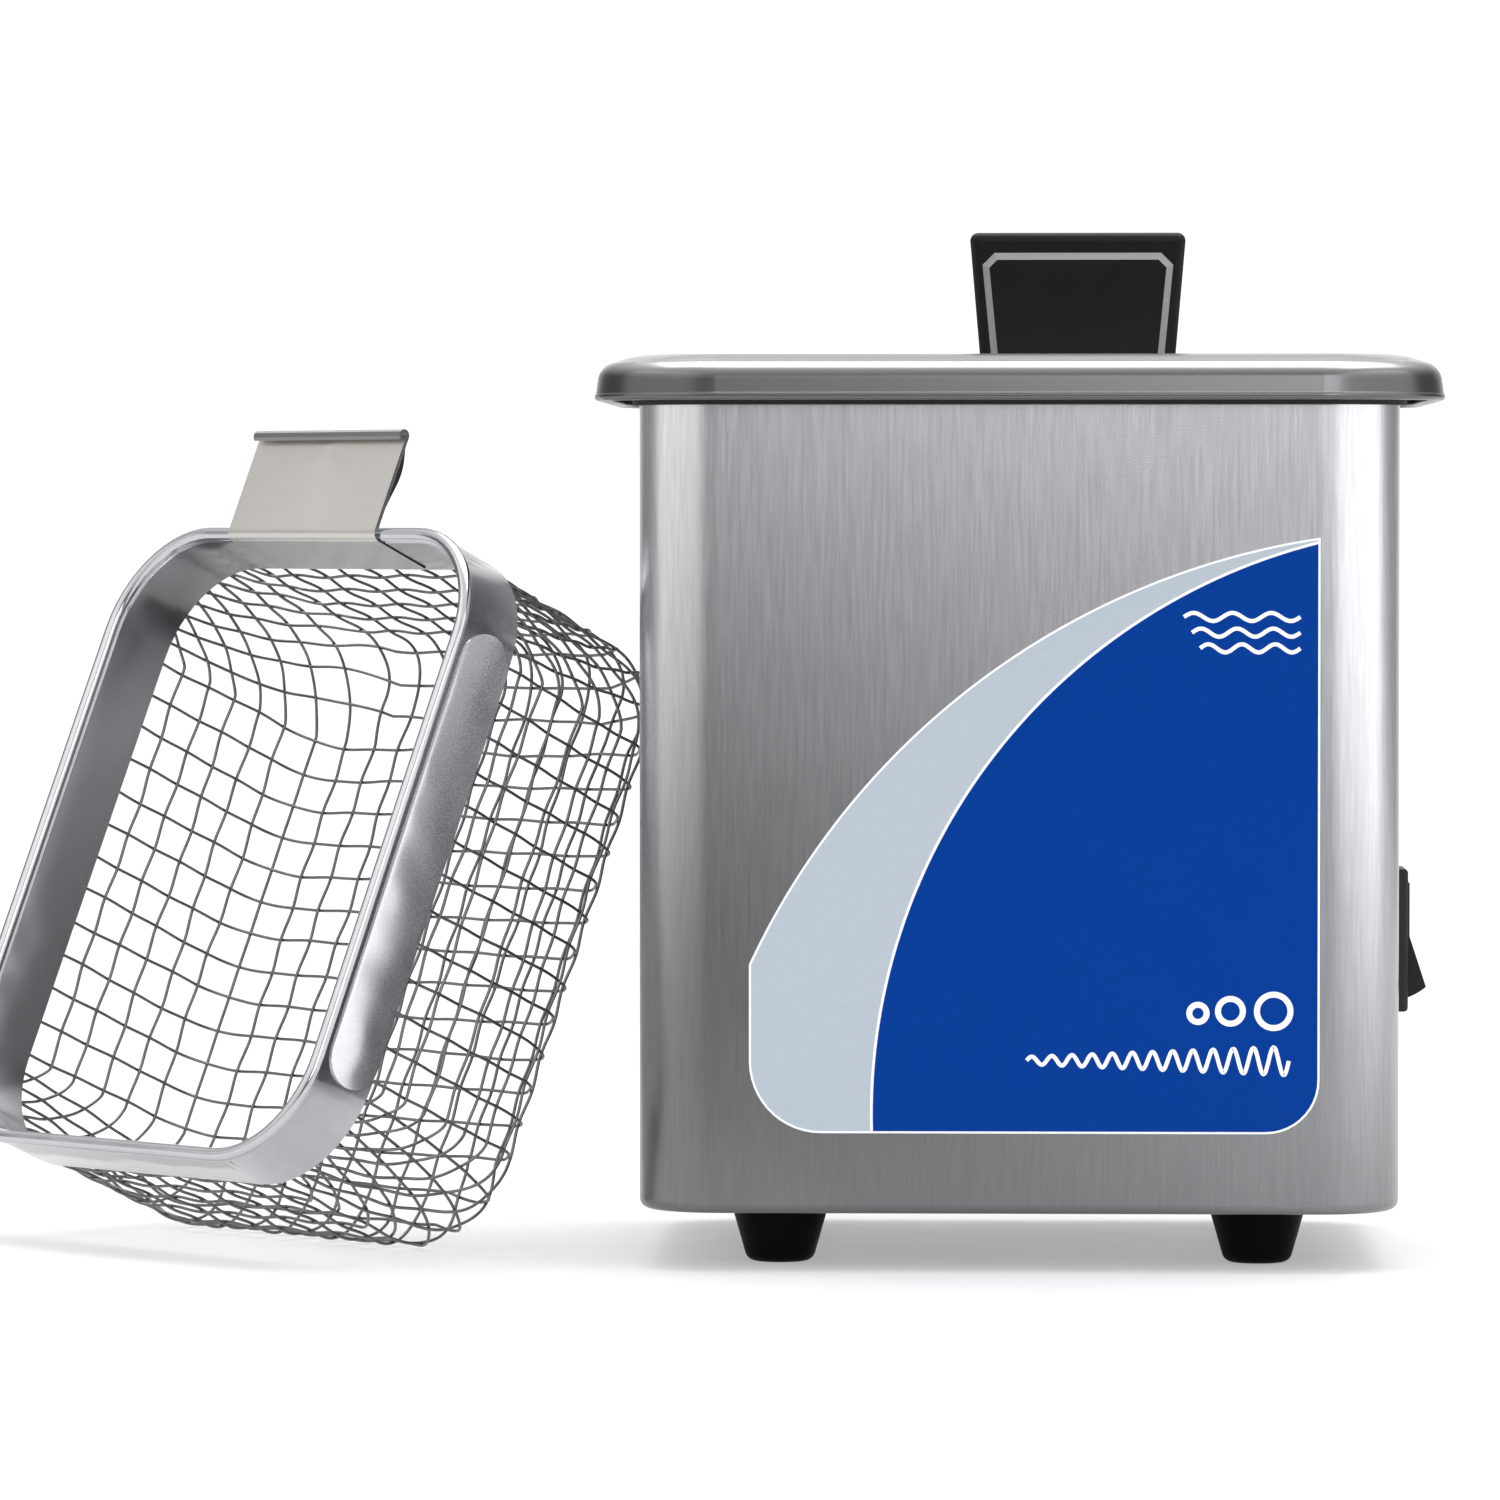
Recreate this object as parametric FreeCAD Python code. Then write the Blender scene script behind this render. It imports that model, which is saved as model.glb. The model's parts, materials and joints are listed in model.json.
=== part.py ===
import FreeCAD
import Part
import math
import os

# Small bench ultrasonic cleaner with its loose wire basket. Millimetres, +X to the right of the
# front face, +Y to the back, +Z up. Origin on the bench under the centre of the case.

V = FreeCAD.Vector
UP = V(0, 0, 1)

# ---- case ----
CASE_W = 142.0
CASE_D = 116.0
CASE_R = 15.0
CASE_BOTTOM = 10.7
CASE_TOP = 166.5
CASE_T = 1.0
CASE_BEND = 2.0
CASE_FLANGE = 7.5
CX = CASE_W / 2 - CASE_R
CY = CASE_D / 2 - CASE_R

# ---- tank and its rim ----
RIM_OVER = 8.4
RIM_BOTTOM = 161.7
RIM_TOP = 170.3
RIM_BEAD = 0.8
SHEET = 0.9
LEDGE_Z = 166.0
RECESS_R = 13.0
TANK_R = 10.8
TANK_FLOOR = 101.0
TANK_FILLET = 8.0

# ---- lid and grip ----
LID_R = 12.6
LID_T = 0.8
LID_Z = LEDGE_Z + 0.15
LID_RAISE = 1.4
SKIRT_R = 10.4
SKIRT_T = 0.8
SKIRT_BOTTOM = 160.5
PANEL_TOP = LID_Z + LID_T + LID_RAISE
GRIP_X = 11.2
GRIP_TOP = 194.5
GRIP_W_TOP = 41.5
GRIP_FLARE = 0.171
GRIP_T_TOP = 12.6
GRIP_T_BOTTOM = 9.6
GRIP_SCREW_PITCH = 24.0

# ---- feet ----
FOOT_X = 44.9
FOOT_Y = 34.0
PLATE_T = 1.5
PLATE_Z = CASE_BOTTOM + CASE_T
PLATE_TOP = PLATE_Z + PLATE_T

# ---- rocker switch, on the right wall ----
SW_Y = -23.0
SW_Z = 60.3
SW_FACE = CASE_W / 2 + 2.4
SW_PIVOT_X = SW_FACE - 4.0
SW_TILT = 9.0
ROCKER_R = 11.6
ROCKER_HALF_W = 5.0

# ---- mains inlet, on the back wall ----
INLET_X = -28.0
INLET_Z = 44.0
INLET_PITCH = 40.0
INLET_FACE = CASE_D / 2 + 2.2

# ---- ultrasonic transducers under the tank ----
TRANS_X = 30.0
TANK_UNDER = TANK_FLOOR - SHEET
FRONT_MASS_H = 25.0
PIEZO_H = 5.0
PIEZO_R = 19.0
ELECTRODE_H = 0.3
BACK_MASS_H = 20.0

# ---- circuit board ----
BOARD_W = 104.0
BOARD_D = 72.0
BOARD_Z = 20.0
BOARD_T = 1.6
BOARD_TOP = BOARD_Z + BOARD_T
BOARD_HOLE_X = 46.0
BOARD_HOLE_Y = 24.0

# ---- basket: local x across, y up its length, z out of its mouth ----
BASKET_B = 106.0
BASKET_L = 129.8
BASKET_H = 60.0
BASKET_R = 22.0
BAND_H = 15.5
BAND_T = 0.8
BASKET_BEAD = 1.0
MESH_T = 0.7
MESH_FILLET = 10.0
TAB_W = 43.6
TAB_X = -1.5
TAB_T = 0.8
TAB_BEND = 1.8
TAB_CURL = 0.45
TAB_OUT = 19.6
BASKET_YAW = -44.4
BASKET_ROLL = 66.0
BASKET_POS = V(-155.82, -8.0, 79.212)


def save(name, shape):
    shape.exportStep("parts/" + name + ".step")


def seg(a, b):
    """Line in the XZ plane between two (x, z) points."""
    return Part.makeLine(V(a[0], 0, a[1]), V(b[0], 0, b[1]))


def arc(a, m, b):
    """Arc in the XZ plane through three (x, z) points."""
    return Part.Arc(V(a[0], 0, a[1]), V(m[0], 0, m[1]), V(b[0], 0, b[1])).toShape()


def bend(centre, r, start, end):
    """Arc in the XZ plane about a centre, from one angle to another in degrees."""
    pts = []
    for a in (start, (start + end) / 2, end):
        t = math.radians(a)
        pts.append((centre[0] + r * math.cos(t), centre[1] + r * math.sin(t)))
    return arc(*pts)


def poly(points):
    """Face in the XZ plane from a closed run of (x, z) points."""
    pts = [V(x, 0, z) for x, z in points]
    return Part.Face(Part.makePolygon(pts + [pts[0]]))


def sheet(edges, offset):
    """Face of sheet metal between a run of edges in the XZ plane and its offset."""
    wire = Part.Wire(edges)
    return wire.makeOffset2D(offset, 0, True, True, False)


def ring(face, cx, cy):
    """A section, x measured out from the corner centres, taken round a rounded rectangle."""
    solids = []
    for i, (sx, sy) in enumerate(((1, 1), (-1, 1), (-1, -1), (1, -1))):
        corner = face.revolve(V(0, 0, 0), UP, 90)
        corner.rotate(V(0, 0, 0), UP, 90 * i)
        corner.translate(V(sx * cx, sy * cy, 0))
        solids.append(corner)
    for i in range(4):
        run = cy if i % 2 == 0 else cx
        out = cx if i % 2 == 0 else cy
        side = face.extrude(V(0, 2 * run, 0))
        side.translate(V(out, -run, 0))
        side.rotate(V(0, 0, 0), UP, 90 * i)
        solids.append(side)
    return solids


def join(solids):
    return solids[0].multiFuse(solids[1:]).removeSplitter()


def rounded_plate(w, d, r, t):
    """Rounded rectangle slab, centred in X and Y, its underside at z 0."""
    box = Part.makeBox(w, d, t, V(-w / 2, -d / 2, 0))
    edges = [e for e in box.Edges if abs(e.BoundBox.ZLength - t) < 1e-6]
    return box.makeFillet(r, edges)


def block(x, y, z, w, d, h):
    """Box centred on x and y with its underside at z."""
    return Part.makeBox(w, d, h, V(x - w / 2, y - d / 2, z))


def rod(x, y, z, r, h, axis=UP):
    return Part.makeCylinder(r, h, V(x, y, z), axis)


def slot_y(x, z, w, h, y0, y1):
    """Vertical slot with round ends that runs along Y."""
    r = w / 2
    body = Part.makeBox(w, y1 - y0, h - w, V(x - r, y0, z - h / 2 + r))
    low = Part.makeCylinder(r, y1 - y0, V(x, y0, z - h / 2 + r), V(0, 1, 0))
    top = Part.makeCylinder(r, y1 - y0, V(x, y0, z + h / 2 - r), V(0, 1, 0))
    return body.multiFuse([low, top])


def slot_z(x, y, w, d, z0, z1):
    """Upright slot with round ends that runs along Z, its length along Y."""
    r = w / 2
    body = Part.makeBox(w, d - w, z1 - z0, V(x - r, y - d / 2 + r, z0))
    low = Part.makeCylinder(r, z1 - z0, V(x, y - d / 2 + r, z0))
    top = Part.makeCylinder(r, z1 - z0, V(x, y + d / 2 - r, z0))
    return body.multiFuse([low, top])


def mirror_xy(shape, x, y):
    """Four copies of a shape at plus and minus x and y."""
    out = []
    for sx in (1, -1):
        for sy in (1, -1):
            out.append(shape.translated(V(sx * x, sy * y, 0)))
    return out


def lead(points, r):
    """Insulated wire along a smooth curve."""
    curve = Part.BSplineCurve()
    curve.interpolate([V(*p) for p in points])
    path = Part.Wire(curve.toShape())
    start = curve.value(curve.FirstParameter)
    way = curve.tangent(curve.FirstParameter)[0]
    circle = Part.Wire(Part.makeCircle(r, start, way))
    return path.makePipeShell([circle], True, False)


def base_screw_places():
    out = CX + 10.4
    return [(out, 22), (out, -22), (-out, 22), (-out, -22)]


# ---------------------------------------------------------------- case

def housing():
    low = CASE_BOTTOM + CASE_BEND
    edges = [
        seg((CASE_R, CASE_TOP), (CASE_R, low)),
        bend((CASE_R - CASE_BEND, low), CASE_BEND, 0, -90),
        seg((CASE_R - CASE_BEND, CASE_BOTTOM), (CASE_R - CASE_FLANGE, CASE_BOTTOM)),
    ]
    shell = join(ring(sheet(edges, -CASE_T), CX, CY))
    cuts = [Part.makeBox(6, 12.0, 25.6, V(CASE_W / 2 - 3, SW_Y - 6.0, SW_Z - 12.8))]
    cuts.append(Part.makeBox(27.6, 6, 20.2, V(INLET_X - 13.8, CASE_D / 2 - 3, INLET_Z - 10.1)))
    for s in (-1, 1):
        x = INLET_X + s * INLET_PITCH / 2
        cuts.append(rod(x, CASE_D / 2 - 3, INLET_Z, 1.75, 6, V(0, 1, 0)))
    for i in range(6):
        cuts.append(slot_y(8 + 8 * i, 44, 2.6, 26, CASE_D / 2 - 3, CASE_D / 2 + 3))
    for x, y in base_screw_places():
        cuts.append(rod(x, y, CASE_BOTTOM - 1, 1.7, 4))
    return shell.cut(cuts)


def base_plate():
    margin = CASE_T + 1.2
    plate = rounded_plate(CASE_W - 2 * margin, CASE_D - 2 * margin, CASE_R - margin, PLATE_T)
    plate.translate(V(0, 0, PLATE_Z))
    cuts = []
    for i in range(7):
        for y in (-15, 15):
            cuts.append(slot_z(-21 + 7 * i, y, 3, 22, PLATE_Z - 1, PLATE_TOP + 1))
    for x, y in base_screw_places():
        cuts.append(rod(x, y, PLATE_Z - 1, 1.55, 4))
    cuts += mirror_xy(rod(0, 0, PLATE_Z - 1, 2.2, 4), FOOT_X, FOOT_Y)
    cuts += mirror_xy(rod(0, 0, PLATE_Z - 1, 1.5, 4), BOARD_HOLE_X, BOARD_HOLE_Y)
    return plate.cut(cuts)


def base_screws():
    out = []
    for x, y in base_screw_places():
        head = Part.makeCone(2.2, 3.0, 0.7, V(x, y, CASE_BOTTOM - 1.5))
        collar = rod(x, y, CASE_BOTTOM - 0.8, 3.0, 0.8)
        shank = rod(x, y, CASE_BOTTOM, 1.45, 6)
        slot = block(x, y, CASE_BOTTOM - 1.6, 0.8, 3.4, 0.7)
        out.append(join([head, collar, shank]).cut(slot))
    return Part.makeCompound(out)


def foot():
    """Rubber bumper: rounded tread, straight taper, a counterbore for its screw."""
    profile = [
        seg((3.6, 0), (5.0, 0)),
        arc((5.0, 0), (6.0, 0.5), (6.6, 1.5)),
        seg((6.6, 1.5), (9.3, PLATE_Z - 0.8)),
        seg((9.3, PLATE_Z - 0.8), (8.9, PLATE_Z)),
        seg((8.9, PLATE_Z), (2.2, PLATE_Z)),
        seg((2.2, PLATE_Z), (2.2, 7.4)),
        seg((2.2, 7.4), (3.9, 7.4)),
        seg((3.9, 7.4), (3.6, 0)),
    ]
    return Part.Face(Part.Wire(profile)).revolve(V(0, 0, 0), UP, 360)


def foot_screw():
    head = rod(0, 0, 5.2, 3.4, 2.2)
    head = head.makeFillet(0.8, [e for e in head.Edges if e.BoundBox.ZMax < 5.3])
    shank = rod(0, 0, 7.4, 2.0, 11.0)
    cross = block(0, 0, 5.0, 0.8, 3.6, 1.2).fuse(block(0, 0, 5.0, 3.6, 0.8, 1.2))
    return join([head, shank]).cut(cross)


def hex_nut(r, bore, h):
    flats = Part.makePolygon([
        V(r * math.cos(math.radians(60 * i)), r * math.sin(math.radians(60 * i)), 0)
        for i in range(7)
    ])
    return Part.Face(flats).extrude(V(0, 0, h)).cut(rod(0, 0, -1, bore, h + 2))


def foot_nut():
    return hex_nut(4.04, 2.05, 3.2).translated(V(0, 0, PLATE_TOP))


# ---------------------------------------------------------------- tank, seal, lid

def tank():
    rim = CASE_R + RIM_OVER
    out = rim - 0.2
    crest = RECESS_R + 1.3
    edges = [
        seg((out, RIM_BOTTOM + 0.9), (out - 0.4, 165.6)),
        arc((out - 0.4, 165.6), (out - 1.35, 167.75), (out - 3.7, 169.0)),
        arc((out - 3.7, 169.0), (out - 6.4, 169.85), (crest, RIM_TOP)),
        bend((crest, RIM_TOP - 1.3), 1.3, 90, 180),
        seg((RECESS_R, RIM_TOP - 1.3), (RECESS_R, LEDGE_Z)),
        seg((RECESS_R, LEDGE_Z), (TANK_R + 0.6, LEDGE_Z)),
        bend((TANK_R + 0.6, LEDGE_Z - 0.6), 0.6, 90, 180),
        seg((TANK_R, LEDGE_Z - 0.6), (TANK_R, TANK_FLOOR + TANK_FILLET)),
        bend((TANK_R - TANK_FILLET, TANK_FLOOR + TANK_FILLET), TANK_FILLET, 0, -90),
        seg((TANK_R - TANK_FILLET, TANK_FLOOR), (0, TANK_FLOOR)),
    ]
    solids = ring(sheet(edges, SHEET), CX, CY)
    hem = Part.Face(Part.Wire(Part.makeCircle(
        RIM_BEAD, V(rim - RIM_BEAD, 0, RIM_BOTTOM + RIM_BEAD), V(0, 1, 0))))
    solids += ring(hem, CX, CY)
    solids.append(block(0, 0, TANK_FLOOR - SHEET, 2 * CX, 2 * CY, SHEET))
    return join(solids)


def rim_gasket():
    """Rubber edging strip over the outside and the top edge of the case."""
    inner = CASE_R - CASE_T + 0.1
    section = poly([
        (CASE_R + 1.3, 160.9), (CASE_R + 1.3, 168.2), (inner, 168.2), (inner, CASE_TOP),
        (CASE_R, CASE_TOP), (CASE_R, 160.9),
    ])
    return join(ring(section, CX, CY))


def lid_plate():
    z = LID_Z
    up = LID_Z + LID_RAISE
    plate = poly([
        (LID_R, z), (LID_R, z + LID_T), (6.0, z + LID_T), (4.4, up + LID_T),
        (0, up + LID_T), (0, up), (4.1, up), (5.7, z),
    ])
    skirt = poly([
        (SKIRT_R, z), (SKIRT_R - SKIRT_T, z),
        (SKIRT_R - SKIRT_T, SKIRT_BOTTOM), (SKIRT_R, SKIRT_BOTTOM),
    ])
    solids = ring(plate, CX, CY) + ring(skirt, CX, CY)
    solids.append(block(0, 0, up, 2 * CX, 2 * CY, LID_T))
    lid = join(solids)
    return lid.cut([rod(x, 0, up - 1, 2.1, 4) for x in grip_screw_places()])


def grip_screw_places():
    return [GRIP_X - GRIP_SCREW_PITCH / 2, GRIP_X + GRIP_SCREW_PITCH / 2]


def slab_wire(z, w, d):
    pts = [V(-w / 2, -d / 2, z), V(w / 2, -d / 2, z), V(w / 2, d / 2, z), V(-w / 2, d / 2, z)]
    return Part.makePolygon(pts + [pts[0]])


def lid_grip():
    """Flared black grip with a raised pad on its front and back faces."""
    h = GRIP_TOP - PANEL_TOP
    w0 = GRIP_W_TOP - GRIP_FLARE * h
    body = Part.makeLoft([slab_wire(0, w0, GRIP_T_BOTTOM), slab_wire(h, GRIP_W_TOP, GRIP_T_TOP)],
                         True)
    edges = [e for e in body.Edges if e.BoundBox.ZMax > h / 2]
    body = body.makeFillet(1.6, edges)
    solids = [body]
    for side in (1, -1):
        solids.append(grip_pad(h, w0, side))
    grip = join(solids)
    bores = []
    for x in (-GRIP_SCREW_PITCH / 2, GRIP_SCREW_PITCH / 2):
        bores.append(rod(x, 0, -1, 1.7, 13))
    grip = grip.cut(bores + [block(0, 0, -2, 60, 40, 2)])
    grip.translate(V(GRIP_X, 0, PANEL_TOP))
    return grip


def grip_pad(h, w0, side):
    """Raised pad with clipped top corners and bevelled edges on one face of the grip."""
    margin_x = 2.2
    top = h - 3.8
    clip = 2.3
    rise = 0.9
    bevel = 1.3
    half_low = w0 / 2 - margin_x
    half_top = half_low + GRIP_FLARE / 2 * top
    outer = [(-half_low, 0), (half_low, 0), (half_top, top - clip), (half_top - clip, top),
             (clip - half_top, top), (-half_top, top - clip)]
    inner = [(bevel - half_low, 0), (half_low - bevel, 0), (half_top - bevel, top - clip - 0.5),
             (half_top - clip - 0.5, top - bevel), (clip + 0.5 - half_top, top - bevel),
             (bevel - half_top, top - clip - 0.5)]
    low = [V(x, 0, z) for x, z in outer]
    high = [V(x, side * (rise + 1.0), z) for x, z in inner]
    mid = [V(x, side * 1.0, z) for x, z in outer]
    pad = Part.makeLoft([Part.makePolygon(mid + [mid[0]]), Part.makePolygon(high + [high[0]])],
                        True)
    foot_part = Part.makeLoft([Part.makePolygon(low + [low[0]]), Part.makePolygon(mid + [mid[0]])],
                              True)
    pad = pad.fuse(foot_part)
    lean = math.degrees(math.atan((GRIP_T_TOP - GRIP_T_BOTTOM) / 2 / h))
    pad.rotate(V(0, 0, 0), V(1, 0, 0), -side * lean)
    pad.translate(V(0, side * (GRIP_T_BOTTOM / 2 - 1.0), 0))
    return pad


def grip_screws():
    out = []
    for x in grip_screw_places():
        low = LID_Z + LID_RAISE
        head = rod(x, 0, low - 2.2, 3.4, 2.2)
        head = head.makeFillet(0.8, [e for e in head.Edges if e.BoundBox.ZMax < low - 2.1])
        shank = rod(x, 0, low, 1.6, 12)
        slot = block(x, 0, low - 2.3, 0.9, 4.2, 1.1)
        out.append(join([head, shank]).cut(slot))
    return Part.makeCompound(out)


# ---------------------------------------------------------------- labels

def front_label():
    """Film on the front face: upright right edge, two arcs sweep down to a low left edge."""
    right = 55.7
    left = -50.0
    low = 25.8
    tip = 136.4
    shoulder = 54.9
    rl = 13.3
    rr = 10.0
    edges = [
        seg((left, shoulder), (left, low + rl)),
        bend((left + rl, low + rl), rl, 180, 270),
        seg((left + rl, low), (right - rr, low)),
        bend((right - rr, low + rr), rr, 270, 360),
        seg((right, low + rr), (right, tip)),
        arc((right, tip), (-2.9, 112.7), (left, shoulder)),
    ]
    film = Part.Face(Part.Wire(edges)).extrude(V(0, -0.25, 0))
    film.translate(V(0, -CASE_D / 2, 0))
    return film


def rating_plate():
    plate = rounded_plate(56, 30, 2, 0.3)
    plate.rotate(V(0, 0, 0), V(1, 0, 0), -90)
    plate.translate(V(-20, CASE_D / 2, 96))
    return plate


# ---------------------------------------------------------------- switch

def turned(shape, degrees):
    shape.rotate(V(SW_PIVOT_X, SW_Y, SW_Z), V(0, 1, 0), degrees)
    return shape


def switch_body():
    half_h = 13.45
    half_w = 7.0
    wall = CASE_W / 2
    bezel = Part.makeBox(SW_FACE - wall, 2 * half_w, 2 * half_h, V(wall, SW_Y - half_w, SW_Z - half_h))
    front = [e for e in bezel.Edges if e.BoundBox.XMin > SW_FACE - 0.1]
    bezel = bezel.makeFillet(0.8, front)
    case = Part.makeBox(wall - 53, 11.8, 25.2, V(53, SW_Y - 5.9, SW_Z - 12.6))
    pocket = Part.makeBox(12, 10.4, 23.6, V(SW_PIVOT_X - 5.4, SW_Y - 5.2, SW_Z - 11.8))
    pins = rod(SW_PIVOT_X, SW_Y - 5.75, SW_Z, 1.2, 11.5, V(0, 1, 0))
    return join([bezel, case]).cut([pocket, pins])


def rocker():
    """Two faces in a shallow V; both ends follow a circle about the pivot."""
    apex = 4.4
    slope = math.tan(math.radians(SW_TILT))
    a = 1 + slope * slope
    b = apex * slope
    c = apex * apex - ROCKER_R * ROCKER_R
    z = (-b + math.sqrt(b * b - a * c)) / a
    x = apex + slope * z
    back = -3.0
    zb = math.sqrt(ROCKER_R ** 2 - back ** 2)
    xm = 1.0
    zm = math.sqrt(ROCKER_R ** 2 - xm ** 2)
    edges = [
        seg((apex, 0), (x, z)),
        arc((x, z), (xm, zm), (back, zb)),
        seg((back, zb), (back, -zb)),
        arc((back, -zb), (xm, -zm), (x, -z)),
        seg((x, -z), (apex, 0)),
    ]
    paddle = Part.Face(Part.Wire(edges)).extrude(V(0, 2 * ROCKER_HALF_W, 0))
    paddle.translate(V(SW_PIVOT_X, SW_Y - ROCKER_HALF_W, SW_Z))
    pin = rod(SW_PIVOT_X, SW_Y - 5.65, SW_Z, 1.15, 11.3, V(0, 1, 0))
    return turned(join([paddle, pin]), -SW_TILT)


def switch_terminals():
    out = []
    for z in (-8, 0, 8):
        out.append(Part.makeBox(9, 0.8, 4.8, V(44, SW_Y - 0.4, SW_Z + z - 2.4)))
    return Part.makeCompound(out)


# ---------------------------------------------------------------- mains inlet

def inlet_body():
    wall = CASE_D / 2
    flange = rounded_plate(50, 23, 4, INLET_FACE - wall)
    flange.rotate(V(0, 0, 0), V(1, 0, 0), -90)
    flange.translate(V(INLET_X, wall, INLET_Z))
    box = Part.makeBox(27.2, 20, 19.8, V(INLET_X - 13.6, wall - 20, INLET_Z - 9.9))
    socket = inlet_outline(24.6, 16.6, 5.0).extrude(V(0, 20, 0))
    socket.translate(V(INLET_X, wall - 14.8, INLET_Z))
    holes = []
    for s in (-1, 1):
        holes.append(rod(INLET_X + s * INLET_PITCH / 2, wall - 1, INLET_Z, 1.75, 5, V(0, 1, 0)))
    return join([flange, box]).cut([socket] + holes + inlet_blades(wall - 21, wall))


def inlet_outline(w, h, clip):
    """Socket outline: a rectangle with its two upper corners cut off."""
    return poly([
        (-w / 2, -h / 2), (w / 2, -h / 2), (w / 2, h / 2 - clip), (w / 2 - clip, h / 2),
        (clip - w / 2, h / 2), (-w / 2, h / 2 - clip),
    ])


def inlet_blades(y0, y1):
    out = []
    for x, z in ((-7, -2), (0, 2), (7, -2)):
        out.append(Part.makeBox(2, y1 - y0, 4, V(INLET_X + x - 1, y0, INLET_Z + z - 2)))
    return out


def inlet_pins():
    return Part.makeCompound(inlet_blades(CASE_D / 2 - 27, CASE_D / 2 - 3.0))


def inlet_screws():
    out = []
    for s in (-1, 1):
        x = INLET_X + s * INLET_PITCH / 2
        head = Part.makeCone(3.0, 1.9, 1.5, V(x, INLET_FACE, INLET_Z), V(0, 1, 0))
        shank = rod(x, INLET_FACE - 9, INLET_Z, 1.5, 9, V(0, 1, 0))
        slot = Part.makeBox(4.2, 1.0, 0.8, V(x - 2.1, INLET_FACE + 0.8, INLET_Z - 0.4))
        out.append(join([head, shank]).cut(slot))
    return Part.makeCompound(out)


def inlet_nuts():
    out = []
    for s in (-1, 1):
        nut = hex_nut(3.2, 1.55, 2.4)
        nut.rotate(V(0, 0, 0), V(1, 0, 0), 90)
        nut.translate(V(INLET_X + s * INLET_PITCH / 2, CASE_D / 2 - CASE_T, INLET_Z))
        out.append(nut)
    return Part.makeCompound(out)


# ---------------------------------------------------------------- transducers

def at_both(shape):
    return Part.makeCompound([shape.translated(V(s * TRANS_X, 0, 0)) for s in (-1, 1)])


def front_mass():
    z = TANK_UNDER - FRONT_MASS_H
    cone = Part.makeCone(PIEZO_R, 22.5, FRONT_MASS_H - 6, V(0, 0, z))
    flange = rod(0, 0, TANK_UNDER - 6, 22.5, 6)
    return join([cone, flange]).cut(rod(0, 0, z - 1, 4.1, 15))


def piezo_rings():
    out = []
    z = TANK_UNDER - FRONT_MASS_H - ELECTRODE_H
    for i in range(2):
        low = z - PIEZO_H - i * (PIEZO_H + ELECTRODE_H)
        out.append(rod(0, 0, low, PIEZO_R, PIEZO_H).cut(rod(0, 0, low - 1, 7.5, PIEZO_H + 2)))
    return Part.makeCompound(out)


def electrodes():
    out = []
    z = TANK_UNDER - FRONT_MASS_H
    for i in range(3):
        low = z - ELECTRODE_H - i * (PIEZO_H + ELECTRODE_H)
        disc = rod(0, 0, low, PIEZO_R, ELECTRODE_H)
        tab = Part.makeBox(5, 8, ELECTRODE_H, V(-2.5, PIEZO_R - 2, low))
        out.append(join([disc, tab]).cut(rod(0, 0, low - 1, 7.5, 3)))
    return Part.makeCompound(out)


def stack_bottom():
    return TANK_UNDER - FRONT_MASS_H - 2 * PIEZO_H - 3 * ELECTRODE_H


def back_mass():
    z = stack_bottom() - BACK_MASS_H
    body = rod(0, 0, z, PIEZO_R, BACK_MASS_H)
    body = body.makeChamfer(1.2, [e for e in body.Edges if e.BoundBox.ZMax < z + 0.1])
    return body.cut(rod(0, 0, z - 1, 4.3, BACK_MASS_H + 2))


def stack_bolt():
    z = stack_bottom() - BACK_MASS_H
    head = rod(0, 0, z - 6, 6.5, 6).cut(hex_nut(3.8, 0.01, 3).translated(V(0, 0, z - 6.5)))
    return join([head, rod(0, 0, z, 4.0, 42)])


# ---------------------------------------------------------------- electronics

def circuit_board():
    board = rounded_plate(BOARD_W, BOARD_D, 3, BOARD_T).translated(V(0, 0, BOARD_Z))
    return board.cut(mirror_xy(rod(0, 0, BOARD_Z - 1, 1.6, 4), BOARD_HOLE_X, BOARD_HOLE_Y))


def standoffs():
    pillar = hex_nut(3.2, 1.5, BOARD_Z - PLATE_TOP).translated(V(0, 0, PLATE_TOP))
    return Part.makeCompound(mirror_xy(pillar, BOARD_HOLE_X, BOARD_HOLE_Y))


def board_screws():
    head = rod(0, 0, BOARD_TOP, 2.8, 2.0)
    head = head.makeFillet(0.7, [e for e in head.Edges if e.BoundBox.ZMin > BOARD_TOP + 1.9])
    screw = join([head, rod(0, 0, BOARD_TOP - 6, 1.4, 6)])
    screw = screw.cut(block(0, 0, BOARD_TOP + 1.2, 0.7, 3.2, 1.2))
    return Part.makeCompound(mirror_xy(screw, BOARD_HOLE_X, BOARD_HOLE_Y))


def transformer_core():
    core = block(0, -16, BOARD_TOP, 26, 12, 21)
    windows = [block(s * 6.5, -16, BOARD_TOP + 5, 6, 14, 11) for s in (-1, 1)]
    return core.cut(windows)


def transformer_coil():
    outer = rounded_plate(18.6, 22, 3, 10.6).translated(V(0, -16, BOARD_TOP + 5.2))
    return outer.cut(block(0, -16, BOARD_TOP + 4, 7.4, 12.4, 14))


def heat_sink():
    base = block(-40, 4, BOARD_TOP, 22, 34, 2.5)
    fins = [block(-50 + 4 * i, 4, BOARD_TOP + 2, 1.4, 34, 11.5) for i in range(6)]
    return join([base] + fins)


def power_transistors():
    out = []
    for y in (-4, 12):
        body = block(-26.9, y, BOARD_TOP + 1, 3.8, 10, 9)
        tab = block(-28.45, y, BOARD_TOP + 1, 0.7, 10, 12)
        legs = [block(-27.4, y + d, BOARD_TOP, 0.6, 0.9, 1.4) for d in (-2.5, 0, 2.5)]
        out.append(join([body, tab] + legs))
    return Part.makeCompound(out)


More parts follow.
